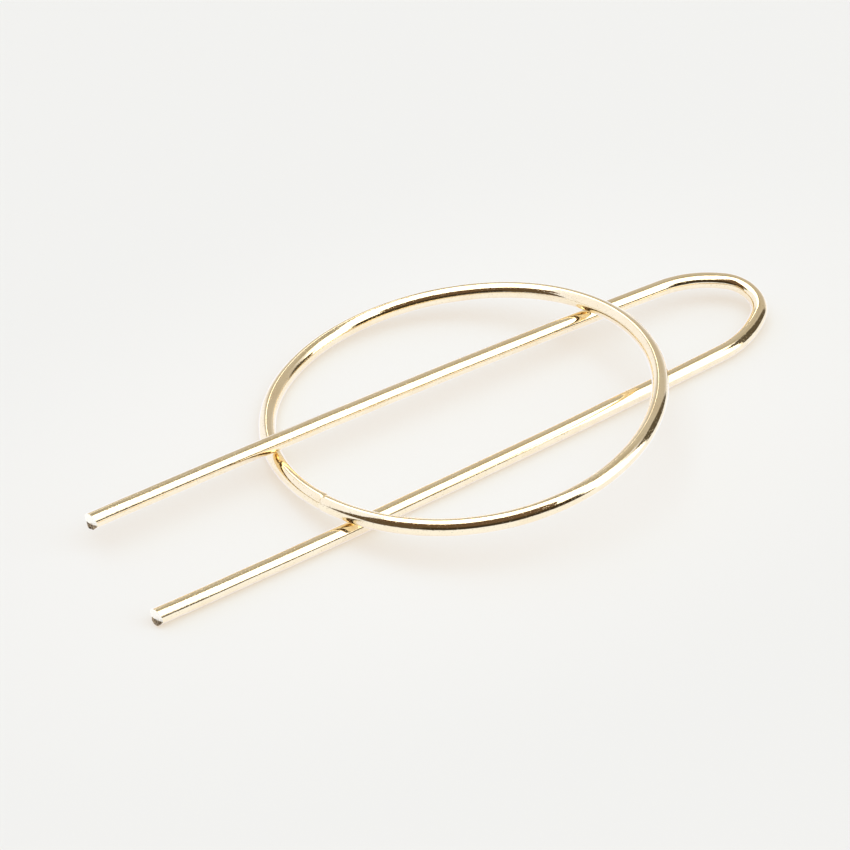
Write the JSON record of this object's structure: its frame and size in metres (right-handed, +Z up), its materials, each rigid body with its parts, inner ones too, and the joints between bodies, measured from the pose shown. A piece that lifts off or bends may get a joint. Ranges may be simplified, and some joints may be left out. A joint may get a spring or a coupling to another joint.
{
  "type": "wire hair slide",
  "caption": "Gold wire hair slide: a round wire ring with a long two-pronged U-shaped pin woven through it to hold a bun or ponytail.",
  "frame": {"origin": "on the table, under the middle of the woven slide's bounding box", "axes": "+X along the pin from its tips to its bend, +Y towards the back prong, +Z up from the table that the slide lies on"},
  "size_m": [0.1144, 0.0596, 0.0108],
  "materials": {
    "gold_ring": "polished pale-gold plating on round brass wire",
    "gold_pin": "polished pale-gold plating on round brass wire, bare at the two cut tips"
  },
  "bodies": {
    "pin": {"u_pin": "gold_pin"},
    "ring": {"ring": "gold_ring"}
  },
  "joints": [
    {"name": "ring_slide", "type": "slide", "parent": "pin", "child": "ring", "axis": [-1, -0.0014, 0.0078], "range_m": [-0.022, 0.09]}
  ]
}
